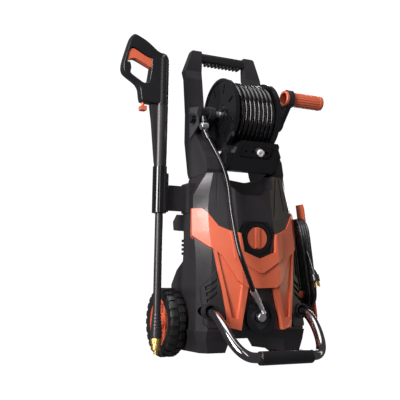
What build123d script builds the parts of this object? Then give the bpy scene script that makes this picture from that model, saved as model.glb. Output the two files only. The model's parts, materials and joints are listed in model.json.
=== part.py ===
from build123d import *
import math
import os

os.makedirs("parts", exist_ok=True)

# Driving dimensions, in millimetres. X is across the machine, the front faces -Y, +Z is up
# and z = 0 is the floor. Everything is drawn about the machine's middle plane first and is
# moved at the end, so that the origin is the bottom centre of the whole machine.
handle_top = 889.0
column_outer = 123.0
column_inner = 77.0
arm_outer = 104.0
arm_inner = 72.0
wall = 4.0
body_bottom = 78.0
body_top = 500.0
split_y = -20.0
foot_height = 20.0

reel_y = -24.0
reel_z = 671.0
reel_middle = -3.5
flange_radius = 102.0
flange_outer_half = 71.5
flange_thickness = 9.0
drum_radius = 68.3
hose_layers_radius = 95.0
axle_radius = 9.0
running_gap = 0.05

crank_eye = (-88.0, 724.0)
crank_x = 106.0
crank_thickness = 16.0
grip_radius = 21.5
grip_length = 126.0
grip_start = 98.0
crank_ring_radius = 26.0
crank_room = 113.0

wheel_y = 89.0
wheel_radius = 95.0
wheel_inner_x = 156.0
wheel_outer_x = 205.0
rim_radius = 66.0
wheel_axle_radius = 8.0

knob_z = 322.0
knob_radius = 30.0
bezel_face = -110.0
bezel_back = -98.0
knob_seat = -103.0
outlet_z = 112.0
collar_radius = 44.0
bar_radius = 13.0
ring_radius = 20.0
bar_entry = (140.5, 127.6)

gun_x = -227.0
gun_y = 33.0
gun_lean = 0.7
gun_pivot_z = 450.0

cord_diameter = 7.5
hank_pitch = 7.6
hank_columns = 4
hank_layers = 4
hank_inner_radius = 12.2
hank_y = -27.0
hank_top = (181.0, 350.0)
hank_bottom = (205.0, 172.0)

jumper_diameter = 13.0

# Half outlines of the body at each height: middle of the front, front corner, widest point
# and rear corner, each as (x, y).
body_outline = {
    78.0: ((58, -118), (147, -104), (164, -70), (146, 126)),
    112.0: ((58, -116), (143, -100), (160, -62), (146, 134)),
    200.0: ((55, -118), (132, -94), (154, -50), (144, 138)),
    240.0: ((55, -115), (129, -91), (154, -48), (142, 106)),
    264.0: ((55, -114), (128, -89), (154, -47), (141, 66)),
    295.0: ((55, -112), (126, -86), (155, -45), (140, 64)),
    340.0: ((55, -104), (128, -76), (158, -40), (140, 64)),
    400.0: ((55, -92), (128, -66), (157, -33), (138, 75)),
    440.0: ((55, -84), (122, -60), (150, -20), (135, 75)),
    500.0: ((55, -72), (108, -56), (122, -45), (120, 72)),
}
base_outline = {
    20.0: ((60, -97), (140, -94), (154, -70), (146, 84)),
    50.0: ((60, -104), (148, -98), (162, -70), (146, 104)),
    78.0: ((60, -121), (149, -106), (170, -74), (147, 126)),
}


# Helpers

def prism(outline, near, far, along="y"):
    """A closed outline pushed from near to far along one axis."""
    place = {
        "x": lambda u, v: (near, u, v),
        "y": lambda u, v: (u, near, v),
        "z": lambda u, v: (u, v, near),
    }[along]
    push = {"x": (1, 0, 0), "y": (0, 1, 0), "z": (0, 0, 1)}[along]
    points = [place(u, v) for u, v in outline]
    return extrude(make_face(Polyline(*points, close=True)), amount=far - near, dir=push)


def block(low, high):
    size = [b - a for a, b in zip(low, high)]
    middle = [(a + b) / 2 for a, b in zip(low, high)]
    return Pos(*middle) * Box(*size)


def rod(start, end, radius):
    """A round bar between two points."""
    start, end = Vector(*start), Vector(*end)
    plane = Plane(origin=start, z_dir=end - start)
    bottom = (Align.CENTER, Align.CENTER, Align.MIN)
    return plane * Cylinder(radius, (end - start).length, align=bottom)


def cone(start, end, first, last):
    start, end = Vector(*start), Vector(*end)
    plane = Plane(origin=start, z_dir=end - start)
    bottom = (Align.CENTER, Align.CENTER, Align.MIN)
    return plane * Cone(first, last, (end - start).length, align=bottom)


def tube(start, end, radius, bore):
    """A pipe whose bore runs right through."""
    start, end = Vector(*start), Vector(*end)
    reach = (end - start).normalized()
    return rod(start, end, radius) - rod(start - reach, end + reach, bore)


def mirrored(shape):
    return mirror(shape, about=Plane.YZ)


def both(shape):
    return [shape, mirrored(shape)]


def grown(points, amount):
    """A closed outline with every side moved outwards by amount."""
    count = len(points)
    turns = sum(a[0] * b[1] - b[0] * a[1] for a, b in zip(points, points[1:] + points[:1]))
    if turns < 0:
        points = points[::-1]
    lines = []
    for i in range(count):
        (x0, y0), (x1, y1) = points[i], points[(i + 1) % count]
        length = math.hypot(x1 - x0, y1 - y0)
        normal = ((y1 - y0) / length, -(x1 - x0) / length)
        lines.append((normal, normal[0] * x0 + normal[1] * y0 + amount))
    moved = []
    for i in range(count):
        (a, p), (b, q) = lines[i - 1], lines[i]
        cross = a[0] * b[1] - a[1] * b[0]
        moved.append(((p * b[1] - q * a[1]) / cross, (a[0] * q - b[0] * p) / cross))
    return moved


def outline_at(outlines, height):
    """The half outline at any height, between the two listed ones."""
    levels = sorted(outlines)
    low = max([z for z in levels if z <= height] or [levels[0]])
    high = min([z for z in levels if z >= height] or [levels[-1]])
    if low == high:
        return outlines[low]
    t = (height - low) / (high - low)
    pairs = zip(outlines[low], outlines[high])
    return tuple(tuple(a + (b - a) * t for a, b in zip(p, q)) for p, q in pairs)


def skin(outlines, growth):
    """A faceted solid through the outlines, grown by the amount given at each height."""
    faces = []
    for height in sorted(growth):
        right = list(outline_at(outlines, height))
        loop = right + [(-x, y) for x, y in reversed(right)]
        points = [(x, y, height) for x, y in grown(loop, growth[height])]
        faces.append(make_face(Polyline(*points, close=True)))
    return loft(faces, ruled=True)


def heights_between(outlines, low, high):
    return [low] + [z for z in sorted(outlines) if low < z < high] + [high]


def even_skin(outlines, low, high, growth):
    return skin(outlines, {z: growth for z in heights_between(outlines, low, high)})


def route_tube(points, radius, name):
    """A round tube along straight runs joined by arcs as large as the runs allow."""
    points = [Vector(*p) for p in points]
    radii = []
    for a, b, c in zip(points, points[1:], points[2:]):
        turn = math.radians((b - a).get_angle(c - b))
        shorter = min((b - a).length, (c - b).length)
        radii.append(0.45 * shorter / math.tan(turn / 2))
    print(name, "bend radii", [round(r) for r in radii])
    line = FilletPolyline(*points, radius=radii)
    section = Plane(origin=line @ 0, z_dir=line % 0) * Circle(radius)
    solid = sweep(section, path=line)
    print(name, "length", round(line.length), "volume ratio",
          round(solid.volume / (math.pi * radius**2 * line.length), 3))
    return solid


# Body: hollow front and rear shells on a base, with the two columns of the handle frame

body_solid = even_skin(body_outline, body_bottom, body_top, 0)
body_hollow = even_skin(body_outline, body_bottom - 1, body_top - wall, -wall)
body_shell = body_solid - body_hollow
rear_half = block((-400, split_y, 0), (400, 400, 900))
front_half = block((-400, -400, 0), (400, split_y, 900))

base_solid = even_skin(base_outline, foot_height, body_bottom, 0)
base_hollow = even_skin(base_outline, foot_height + wall, body_bottom + 1, -wall)
arch = prism([(-96, 0), (-80, 57), (80, 57), (96, 0)], -200, 200)
arch_lining = prism([(-100, 0), (-83, 61), (83, 61), (100, 0)], -200, 200)
wheel_wells = both(rod((151, wheel_y, wheel_radius), (260, wheel_y, wheel_radius), wheel_radius + 5))
base_shell = base_solid - (base_hollow - arch_lining) - arch
base_shell = base_shell - wheel_wells[0] - wheel_wells[1]


def column_side():
    """Side view of a column: (y, z) from the shoulder on the body up to the handle."""
    return [
        (-45, body_top), (-47, 512), (-38, 548), (2, 598), (57, 640), (82, 798), (90, 823),
        (93, handle_top - 4), (97, handle_top), (116, handle_top), (122, 823), (110, 798),
        (99, 690), (103, 610), (82, 516), (74, body_top),
    ]


def column_front():
    """Front view of the right column: (x, z)."""
    return [
        (82, body_top), (column_inner, 560), (column_inner - 1, 800), (arm_inner, 852),
        (arm_inner, handle_top), (arm_outer - 4, handle_top), (arm_outer, handle_top - 5),
        (column_outer + 2, 823), (column_outer, 640), (122, body_top),
    ]


column = prism(column_side(), 60, 130, "x") & prism(column_front(), -100, 160)
columns = [column, mirrored(column)]
rear_step = prism([(60, 352), (98, 351), (138, 356), (143, 381), (117, 400), (60, 394)], -139, 139, "x")
rear_ribs = [block((-139, 50, z), (139, 80, z + 7)) for z in (282, 294, 306, 318)]
rear_extra = rear_step
for rib in rear_ribs:
    rear_extra = rear_extra + rib
rear_extra = rear_extra - body_hollow

axle_line = ((-wheel_outer_x, wheel_y, wheel_radius), (wheel_outer_x, wheel_y, wheel_radius))
axle_boss = rod((-146, wheel_y, wheel_radius), (146, wheel_y, wheel_radius), 14)
axle_bore = rod(*axle_line, wheel_axle_radius)

rear_housing = (body_shell & rear_half) + rear_extra + columns[0] + columns[1]
rear_housing = rear_housing + (axle_boss & body_solid) - axle_bore
inlet_z = 132.0
inlet_passage = rod((0, 60, inlet_z), (0, 180, inlet_z), 17)
rear_housing = rear_housing - inlet_passage
rear_housing = rear_housing - wheel_wells[0] - wheel_wells[1]
rear_housing = rear_housing - rod((95, reel_y, reel_z), (140, reel_y, reel_z), crank_room)

# A scoop in the front and a channel across the top, both with their own walls
scoop_outline = [(-70, 512), (-70, 466), (-34, 441), (34, 441), (70, 466), (70, 512)]
scoop_back = -30.0
scoop = prism(scoop_outline, -120, scoop_back)
scoop_wall = prism(grown(scoop_outline, wall), -120, scoop_back + wall) & body_solid
channel_outline = [(-66, 512), (-62, 498), (-45, 488), (0, 483), (45, 488), (62, 498), (66, 512)]
channel = prism(channel_outline, -40, 130)
channel_wall = prism(grown(channel_outline, wall), -40, 130) & body_solid
rear_housing = rear_housing + (channel_wall & rear_half) - channel
front_cover = (body_shell & front_half) + scoop_wall + (channel_wall & front_half) - scoop - channel

# Shallow seams beside the middle panel and down the outside of the side panels
seam_depth = even_skin(body_outline, 380, body_top, 0) - even_skin(body_outline, 380, body_top, -1.8)
for seam in ([(60, 384), (64, 384), (86, 497), (82, 497)], [(104, 404), (108, 404), (98, 497), (94, 497)]):
    for groove in both(prism(seam, -140, -30)):
        front_cover = front_cover - (groove & seam_depth)

# Stand bar: a bent tube that enters the body through two round holes
bar_right = [
    (139, -70, 127), (140, -106, 128), (141, -140, 119), (137, -182, 86),
    (128, -218, 46), (108, -243, 22), (80, -250, 17.5),
]


def stand_bar_route():
    left = [(-x, y, z) for x, y, z in reversed(bar_right)]
    return bar_right + left


bar_points = [Vector(*p) for p in stand_bar_route()]
bar_radii = []
for a, b, c in zip(bar_points, bar_points[1:], bar_points[2:]):
    half_turn = math.radians((b - a).get_angle(c - b)) / 2
    bar_radii.append(min(60.0, 0.45 * min((b - a).length, (c - b).length) / math.tan(half_turn)))
bar_line = FilletPolyline(*bar_points, radius=bar_radii)
bar_section = Plane(origin=bar_line @ 0, z_dir=bar_line % 0) * Circle(bar_radius)
stand_bar = sweep(bar_section, path=bar_line)
grip_sleeve = rod((-77, -250, 17.5), (77, -250, 17.5), 18.2) & block((-90, -280, 0), (90, -180, 34))
grip_sleeve = grip_sleeve - stand_bar
bar_x, bar_z = bar_entry
bar_holes = both(rod((bar_x, -60, bar_z), (bar_x, -140, bar_z), bar_radius + 3))
bar_rings = []
for ring in both(tube((bar_x, -92, bar_z), (bar_x, -112, bar_z), ring_radius, bar_radius + 2.8)):
    bar_rings.append(ring - body_solid)

front_cover = front_cover - bar_holes[0] - bar_holes[1]

# Trim on the front: knob bezel, orange band in two tiers, legs and vent panels
bezel_outline = [(-32, 367), (32, 367), (53, 333), (48, 285), (0, 266), (-48, 285), (-53, 333)]
bezel_space = prism(grown(bezel_outline, 0.6), -200, -60)
pocket_space = prism(grown(bezel_outline, 5), -200, bezel_back)
pocket_wall = prism(grown(bezel_outline, 5 + wall), -200, bezel_back + wall) & body_solid


def knob_rod(start_y, end_y, radius):
    return rod((0, start_y, knob_z), (0, end_y, knob_z), radius)


bezel = prism(bezel_outline, bezel_face, bezel_back) - knob_rod(bezel_face - 1, knob_seat, 44.5)
bezel = bezel + tube((0, knob_seat + 0.5, knob_z), (0, bezel_face + 1, knob_z), 43, knob_radius + 1.5)
bezel = bezel - knob_rod(-80, bezel_face - 1, 7.05)

knob_disc = knob_rod(knob_seat - 0.3, bezel_face + 1.5, knob_radius)
knob_bar = block((-6, bezel_face - 2, knob_z - 27), (6, knob_seat - 2, knob_z + 27))
knob_bar = knob_bar & knob_rod(bezel_face - 3, knob_seat, knob_radius)
knob_shaft = knob_rod(knob_seat - 1, -84, 7.0)
selector_knob = knob_disc + knob_bar + knob_shaft
front_cover = front_cover + pocket_wall - pocket_space
front_cover = front_cover - knob_rod(-130, -60, 7.05)

band_half = [
    (0, 300), (54, 334), (79, 341), (106, 353), (130, 388), (142, 402), (164, 402), (166, 332),
    (134, 298), (103, 273), (66, 207), (46, 190), (0, 188),
]
tier_half = [(0, 300), (54, 334), (80, 340), (73, 268), (8, 229), (0, 228)]


def full_outline(half):
    return half + [(-x, z) for x, z in reversed(half) if x > 0]


band_growth = {150: 16, 189: 16, 228: 12, 262: 9, 295: 7, 340: 5, 400: 4, 440: 4}
tier_growth = {200: 18, 228: 17, 262: 12, 295: 11, 340: 11, 400: 10}
band = skin(body_outline, band_growth) & prism(full_outline(band_half), -200, -25)
band = band - body_solid - bezel_space
tier = skin(body_outline, tier_growth) & prism(full_outline(tier_half), -200, -25)
tier = tier - body_solid - bezel_space
orange_band = band + tier

leg_outline = [(124, 294), (92, 86), (64, 79), (39, 188), (66, 206), (103, 272)]
leg_growth = {78: 19, 112: 17, 189: 11, 240: 9, 295: 8, 340: 7}
leg_panel_outline = [(118, 292), (88, 112), (71, 108), (56, 196), (62, 203), (103, 276)]
leg = skin(body_outline, leg_growth) & prism(leg_outline, -200, -60)
leg = leg - body_solid
leg_recess_growth = {z: 0.35 * g for z, g in leg_growth.items()}
leg_recess = prism(leg_panel_outline, -200, -60) - skin(body_outline, leg_recess_growth)
leg = leg - leg_recess - orange_band - bezel_space

vent_outline = [(122, 232), (150, 190), (152, 96), (146, 86), (112, 86), (97, 118), (112, 200)]
vent_growth = {78: 5, 112: 5, 200: 5, 240: 5}
vent = skin(body_outline, vent_growth) & prism(vent_outline, -200, -60)
vent = vent - body_solid - leg - prism(leg_outline, -200, -60)
vent = vent - rod((bar_x, -60, bar_z), (bar_x, -140, bar_z), ring_radius + 0.1)
for step in range(3):
    low = 149 + 16.5 * step
    slot = prism([(118, low + 21), (144, low), (144, low + 10), (118, low + 31)], -200, -60)
    vent = vent - slot

# Outlet: round collar with the machine's pressure fitting inside
collar = rod((0, -128, outlet_z), (0, -100, outlet_z), collar_radius)
collar = collar - rod((0, -129, outlet_z), (0, -112, outlet_z), 32)
collar = collar - body_solid
collar = collar - rod((0, -129, outlet_z), (0, -90, outlet_z), 14.2)
collar_space = rod((0, -200, outlet_z), (0, -60, outlet_z), collar_radius)
front_cover = front_cover - rod((0, -140, outlet_z), (0, -60, outlet_z), 14.2)
base_shell = base_shell - collar_space
banjo = rod((0, -132, outlet_z), (0, -118, outlet_z), 12)
outlet_stem = rod((0, -119, outlet_z), (0, -70, outlet_z), 9.0)
outlet_bolt = rod((0, -138, outlet_z), (0, -132, outlet_z), 9.5)
jumper_tail = (8, -130, 122)
jumper_ferrule_top = (-42, -159, 182)
ferrule_axis = (Vector(*jumper_ferrule_top) - Vector(*jumper_tail)).normalized()
stub = rod(jumper_tail, Vector(*jumper_tail) + ferrule_axis * 22, 5.0)
outlet_fitting = banjo + outlet_stem + outlet_bolt + stub

# Reel: two flanges on a hollow drum, turned by a crank on its right side
left_face = reel_middle - flange_outer_half
right_face = reel_middle + flange_outer_half


def reel_point(x):
    return (x, reel_y, reel_z)


def flange(inner_x, outer_x):
    """A dished flange with a rolled rim and eight slots."""
    side = 1 if outer_x > inner_x else -1
    disc = rod(reel_point(inner_x), reel_point(outer_x - 3 * side), flange_radius)
    rim = tube(reel_point(inner_x), reel_point(outer_x), flange_radius, flange_radius - 8)
    shape = disc + rim
    for turn in range(8):
        spoke = Pos(0, 0, 72) * Box(40, 6, 26)
        shape = shape - Pos(inner_x, reel_y, reel_z) * Rot(45 * turn + 20, 0, 0) * spoke
    hub = rod(reel_point(inner_x), reel_point(outer_x), 30)
    bore = rod(reel_point(inner_x - 20 * side), reel_point(outer_x + 20 * side), 15)
    return shape + hub - bore


flange_left = flange(left_face + flange_thickness + 3, left_face)
flange_right = flange(right_face - flange_thickness - 3, right_face)
drum_left = left_face + flange_thickness + 3
drum_right = right_face - flange_thickness - 3
reel_drum = tube(reel_point(drum_left), reel_point(drum_right), drum_radius, 54)
reel_drum = reel_drum + rod(reel_point(drum_left), reel_point(drum_left + 5), 54)
reel_drum = reel_drum + rod(reel_point(drum_right - 5), reel_point(drum_right), 54)
reel_drum = reel_drum - rod(reel_point(drum_left - 5), reel_point(drum_right + 5), 15)
reel_axle = rod(reel_point(-129), reel_point(121), axle_radius)
reel_axle = reel_axle + rod(reel_point(left_face), reel_point(right_face), 15)

coil = tube(reel_point(drum_left + 0.5), reel_point(drum_right - 0.5), hose_layers_radius, drum_radius + 0.3)
pocket = block((drum_left + 0.4, reel_y + 55, reel_z - 52), (drum_left + 17, reel_y + 100, reel_z + 30))
hose_coil = coil - pocket
connector_start = (drum_left + 8.5, reel_y + 84, reel_z + 24)
connector_end = (drum_left + 8.5, reel_y + 84, reel_z - 40)
connector = rod(connector_start, connector_end, 7.5)
connector_nut = rod((connector_start[0], reel_y + 84, reel_z - 30),
                    (connector_start[0], reel_y + 84, reel_z - 6), 8.4)
connector_bore = rod(connector_end, (connector_start[0], reel_y + 84, reel_z - 28), 4.5)
hose_connector = connector + connector_nut - connector_bore

# Brackets that carry the reel's axle from the columns
bracket_arm = [(70, 700), (20, 694), (-24, 690), (-42, 680), (-42, 662), (-24, 652), (10, 646), (62, 618)]


def axle_bracket(inner_x, outer_x, tube_start, tube_end):
    arm = prism(bracket_arm, inner_x, outer_x, "x") + rod(reel_point(tube_start), reel_point(tube_end), 19)
    arm = arm - rod(reel_point(-160), reel_point(160), axle_radius + running_gap)
    return arm - column - mirrored(column)


bracket_left = axle_bracket(-110, -98, -110, -92)
bracket_right = axle_bracket(86, 94, 84, 98)
side_plate = prism([(64, 704), (4, 694), (2, 640), (57, 610)], -127, -122, "x")
side_plate = side_plate - mirrored(column) - bracket_left

lock_knob_axis = (24.0, 664.0)
lock_knob = rod((-127.3, *lock_knob_axis), (-141, *lock_knob_axis), 14)
for turn in range(6):
    angle = math.radians(60 * turn)
    centre_y = lock_knob_axis[0] + 17 * math.cos(angle)
    centre_z = lock_knob_axis[1] + 17 * math.sin(angle)
    lock_knob = lock_knob - rod((-126, centre_y, centre_z), (-142, centre_y, centre_z), 5)
lock_knob = lock_knob + rod((-127.3, *lock_knob_axis), (-112, *lock_knob_axis), 4)
side_plate = side_plate - rod((-140, *lock_knob_axis), (-100, *lock_knob_axis), 4.05)

swivel_body = rod(reel_point(-112), reel_point(-135), 14)
swivel_body = swivel_body + rod((-123, -25, 668), (-123, -29.5, 642), 8)
swivel_body = swivel_body - rod(reel_point(-100), reel_point(-130), axle_radius + running_gap)
banjo_eye = (-31, 632)
swivel_banjo = rod((-132, *banjo_eye), (-114, *banjo_eye), 10.5)
swivel_banjo = swivel_banjo + rod((-134.5, *banjo_eye), (-132, *banjo_eye), 7.5)
swivel_body = swivel_body - swivel_banjo

# Crank with its hollow turning grip
crank_bar = prism([
    (reel_y + 22, reel_z - 22), (reel_y - 14, reel_z - 28),
    (crank_eye[0] - 4, crank_eye[1] - 25), (crank_eye[0] + 10, crank_eye[1] + 23),
    (reel_y + 12, reel_z + 28),
], crank_x + 1, crank_x + crank_thickness - 1, "x")
crank_hub = rod(reel_point(crank_x), reel_point(crank_x + crank_thickness), 30)
crank_ring = rod((crank_x, *crank_eye), (crank_x + crank_thickness, *crank_eye), crank_ring_radius)
eye_bore = rod((crank_x - 5, *crank_eye), (crank_x + 40, *crank_eye), grip_radius - 2)
crank_arm = crank_bar + crank_hub + crank_ring - eye_bore
crank_arm = crank_arm - rod(reel_point(100), reel_point(130), axle_radius)
grip_bore = 16.5
grip_finish = grip_start + grip_length
crank_outer_x = crank_x + crank_thickness


def grip_tube(start_x, end_x, radius):
    return tube((start_x, *crank_eye), (end_x, *crank_eye), radius, grip_bore)


neck = grip_tube(crank_x - 0.6, crank_outer_x + 0.6, grip_radius - 2.05)
grip_left = grip_tube(grip_start, crank_x - 0.3, grip_radius + 1)
grip_right = grip_tube(crank_outer_x + 0.3, grip_finish, grip_radius)
grip_end = rod((grip_finish - 4, *crank_eye), (grip_finish, *crank_eye), grip_radius)
crank_grip = neck + grip_left + grip_right + grip_end

# Nozzle plate in front of the reel
plate_outline = [
    (-70, 508), (72, 508), (71, 530), (66, 576), (59, 583), (-54, 583), (-61, 577), (-69, 530),
]
plate_low, plate_high = (-70.0, 505.0), (-122.0, 583.0)
plate_slope = (plate_high[0] - plate_low[0]) / (plate_high[1] - plate_low[1])


def plate_y(z):
    return plate_low[0] + plate_slope * (z - plate_low[1])


plate_depth = 22.0
plate_side = [
    (plate_y(505), 505), (plate_y(583), 583), (plate_y(583) + plate_depth, 583),
    (plate_y(505) + plate_depth, 505),
]
label_plate = prism(plate_side, -80, 80, "x") & prism(plate_outline, -200, 0)
tilt = math.degrees(math.atan(-plate_slope))
tray_z = 557.0
recess_centre = (0, plate_y(tray_z), tray_z)
recess_shape = extrude(RectangleRounded(106, 37, 14), amount=6, both=True)
recess_shape = Pos(*recess_centre) * Rot(-90 + tilt, 0, 0) * recess_shape
label_plate = label_plate - recess_shape
plate_normal = Vector(0, -math.cos(math.radians(tilt)), -math.sin(math.radians(tilt)))


def on_plate(x, z, depth):
    """A point at a depth below the plate's face."""
    return Vector(x, plate_y(z), z) - plate_normal * depth


socket_x = (-30.0, -8.0, 14.0, 36.0)
for x in socket_x:
    label_plate = label_plate - rod(on_plate(x, tray_z, -1), on_plate(x, tray_z, 24), 5.5)


def nozzle_rod(start, end, radius):
    return rod(on_plate(socket_x[2], tray_z, start), on_plate(socket_x[2], tray_z, end), radius)


nozzle_in_tray = nozzle_rod(16, 5.9, 5.4) + nozzle_rod(5.9, -3.5, 9.5) - nozzle_rod(-4, 2, 3.5)
plate_arm = prism([(-97, 552), (-84, 530), (-72, 512), (-30, 503), (-30, 548), (-85, 575)], 62, 83, "x")
for arm in both(plate_arm - column - body_solid):
    label_plate = label_plate + arm

# Holster on the left side, with an open C clip round the lance


def gun_place(shape):
    """From the gun's own frame, where its barrel is the Z axis, to the machine."""
    return Pos(gun_x, gun_y, gun_pivot_z) * Rot(0, gun_lean, 0) * Pos(0, 0, -gun_pivot_z) * shape


clip_radius = 21.0
clip = Pos(0, 0, 448) * extrude(Circle(clip_radius + 4) - Circle(clip_radius), amount=52, both=True)
clip = clip - prism([(-60, -60), (4, -60), (4, -12), (-9, 0), (4, 12), (4, 60), (-60, 60)], 380, 520, "z")
clip = gun_place(clip)
holster_web = block((gun_x + clip_radius + 1.5, gun_y - 5, 400), (-131, gun_y + 5, 470))
holster_web = holster_web - gun_place(Pos(0, 0, 448) * extrude(Circle(clip_radius + 1), amount=80, both=True))
holster_foot = block((-150, gun_y - 26, 396), (-128, gun_y + 26, 478))
holster = holster_web + holster_foot + clip - body_solid

# Pressure gun and lance, drawn about their own axis
def upright(start, length, radius):
    return Pos(0, 0, start) * Cylinder(radius, length, align=(Align.CENTER, Align.CENTER, Align.MIN))


def upright_cone(start, length, first, last):
    return Pos(0, 0, start) * Cone(first, last, length, align=(Align.CENTER, Align.CENTER, Align.MIN))


barrel_radius = 18.5
barrel = upright(690, 132, barrel_radius)
barrel = barrel + Pos(0, 0, 822) * Sphere(barrel_radius)
grip_outline = [
    (4, 846), (-15, 842), (-49, 865), (-84, 880), (-92, 878), (-100, 864), (-119, 797), (-120, 778),
    (-115, 764), (-71, 738), (-66, 700), (-62, 692), (4, 690),
]
grip_plate = prism(grip_outline, -14, 14)
finger_gap_outline = [(-90, 812), (-35, 790), (-44, 751), (-58, 746), (-97, 768), (-93, 784)]
finger_gap = prism(finger_gap_outline, -40, 40)
trigger_outline = [
    (-22, 812), (-26, 797), (-34, 790.5), (-85, 811.5), (-99, 807), (-107, 800), (-103, 826),
    (-95, 838), (-87, 838), (-58, 824),
]
pivot = (-28.0, 805.0)
trigger_travel = 8.0
trigger_half = 7.0
trigger_wide_half = 12.0


def swung(shape, angle):
    """A piece of the gun turned about the trigger's pin."""
    return Pos(pivot[0], 0, pivot[1]) * Rot(0, angle, 0) * Pos(-pivot[0], 0, -pivot[1]) * shape


trigger_blade = prism(trigger_outline, -trigger_half, trigger_half)
trigger_wide = prism(trigger_outline, -trigger_wide_half, trigger_wide_half)
trigger_blade = trigger_blade + (trigger_wide & block((-200, -40, 700), (-40, 40, 900)))
trigger = trigger_blade + rod((pivot[0], -trigger_half, pivot[1]), (pivot[0], trigger_half, pivot[1]), 8)
trigger_room = prism(grown(trigger_outline, 0.6), -trigger_half - 0.5, trigger_half + 0.5)
trigger_slot = prism(grown(trigger_outline, 0.6), -40, 40) & block((-200, -60, 700), (-38.5, 60, 900))
trigger_room = trigger_room + trigger_slot
gun_body = barrel + grip_plate - finger_gap
for step in range(5):
    gun_body = gun_body - swung(trigger_room, trigger_travel * step / 4)
hub_half = trigger_half + 0.5
gun_body = gun_body - rod((pivot[0], -hub_half, pivot[1]), (pivot[0], hub_half, pivot[1]), 8.6)
trigger = trigger - rod((pivot[0], -9, pivot[1]), (pivot[0], 9, pivot[1]), 3.05)
clip_bore = rod((-55, 0, 720), (-55, 0, 650), 4.05)
gun_body = gun_body - clip_bore

gun_body = gun_body + rod((pivot[0], -13.5, pivot[1]), (pivot[0], 13.5, pivot[1]), 3.0)

inlet_clip = rod((-55, 0, 715), (-55, 0, 680), 4.0) + block((-63, -11, 671), (-47, 11, 683))
sleeve = upright_cone(520, 169.7, 17.5, 18.4)
side_fin = prism([(-14, 690), (-34, 690), (-27, 640), (-16, 530), (-8, 530)], -10, 10)
lance_sleeve = sleeve + side_fin
lance_holder = upright(392, 128, 20.0)
tube_radius = 10.8
collar_start = 56.0
lance_tube = upright(82, 340, tube_radius)
lance_holder = lance_holder - upright(380, 42, tube_radius)
flare_start = 82.0
flare = upright_cone(flare_start, 38, 15.5, 11.5) + upright(collar_start, flare_start - collar_start, 15)
for ring_step in range(4):
    groove = Pos(0, 0, flare_start + 4 + 9 * ring_step) * Torus(15.5 - ring_step, 1.7)
    flare = flare - groove
lance_tube = lance_tube + flare - upright(collar_start - 1, 29, 6.0)
vario_sleeve = upright(40, collar_start - 40.3, 15) + upright(24, 16, 13.8)
vario_sleeve = vario_sleeve - upright(8, 80, 6.05)
spray_tip = upright(12, 70, 6.0)
spray_tip = spray_tip - upright(11, 20, 1.5)

# Wheels
def wheel_point(x):
    return (x, wheel_y, wheel_radius)


wheel_middle = (wheel_inner_x + wheel_outer_x) / 2
shoulder = 7.0
inner_shoulder = wheel_point(wheel_inner_x + shoulder)
outer_shoulder = wheel_point(wheel_outer_x - shoulder)
tyre_right = rod(inner_shoulder, outer_shoulder, wheel_radius)
tyre_right = tyre_right + cone(outer_shoulder, wheel_point(wheel_outer_x), wheel_radius, wheel_radius - 6)
tyre_right = tyre_right + cone(inner_shoulder, wheel_point(wheel_inner_x), wheel_radius, wheel_radius - 6)
tyre_right = tyre_right - rod(wheel_point(wheel_inner_x - 1), wheel_point(wheel_outer_x + 1), rim_radius)
lug_count = 24
for step in range(lug_count):
    angle = 360 / lug_count * step
    notch = Pos(0, 0, wheel_radius) * Box(60, 9, 7)
    tread = Pos(wheel_middle + 38, wheel_y, wheel_radius) * Rot(angle, 0, 0) * notch
    tyre_right = tyre_right - tread
rim_right = rod(wheel_point(wheel_inner_x + 4), wheel_point(wheel_outer_x - 4), rim_radius)
rim_right = rim_right - rod(wheel_point(wheel_outer_x - 13), wheel_point(wheel_outer_x), rim_radius - 9)
rim_right = rim_right - tube(wheel_point(wheel_inner_x), wheel_point(wheel_inner_x + 30), rim_radius - 5, 22)
for step in range(6):
    window = Pos(wheel_middle, wheel_y, wheel_radius) * Rot(60 * step, 0, 0) * Pos(0, 0, 38) * Box(80, 16, 26)
    rim_right = rim_right - window
rim_right = rim_right + rod(wheel_point(wheel_inner_x + 4), wheel_point(wheel_outer_x - 6), 20)
rim_right = rim_right - rod(wheel_point(100), wheel_point(240), wheel_axle_radius + running_gap)
wheel_axle = rod(wheel_point(-(wheel_outer_x - 6)), wheel_point(wheel_outer_x - 6), wheel_axle_radius)

# Cord hooks, hank and leads
hank_slope = (hank_bottom[0] - hank_top[0]) / (hank_top[1] - hank_bottom[1])
hank_tilt = math.degrees(math.atan(hank_slope))
hank_width = hank_columns * hank_pitch
hank_outer = hank_inner_radius + hank_layers * hank_pitch
hank_middle = ((hank_top[0] + hank_bottom[0]) / 2, (hank_top[1] + hank_bottom[1]) / 2)
hank_reach = math.hypot(hank_bottom[0] - hank_top[0], hank_top[1] - hank_bottom[1])


def hank_place(shape):
    return Pos(hank_middle[0], hank_y, hank_middle[1]) * Rot(0, -hank_tilt, 0) * shape


def stadium(radius, depth):
    """A long ring's outline, upright in the YZ plane."""
    face = Plane.YZ * Rot(0, 0, 90) * SlotCenterToCenter(hank_reach, 2 * radius)
    return extrude(face, amount=depth / 2, both=True)


power_hank = hank_place(stadium(hank_outer, hank_width) - stadium(hank_inner_radius, hank_width + 10))


hook_face = hank_width / 2 + 0.6
arm_radius = 11.5


def hook_paddle(level, up):
    """A flat plate that keeps the cord on its arm, in the hank's own frame."""
    outline = [
        (hook_face, level - 14 * up), (hook_face + 7, level - 14 * up), (hook_face + 7, level + 66 * up),
        (hook_face + 4, level + 80 * up), (hook_face, level + 80 * up),
    ]
    return prism(outline, -17, 17)


def hook_arm(level, start):
    return rod((start, 0, level), (hook_face + 1, 0, level), arm_radius)


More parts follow.
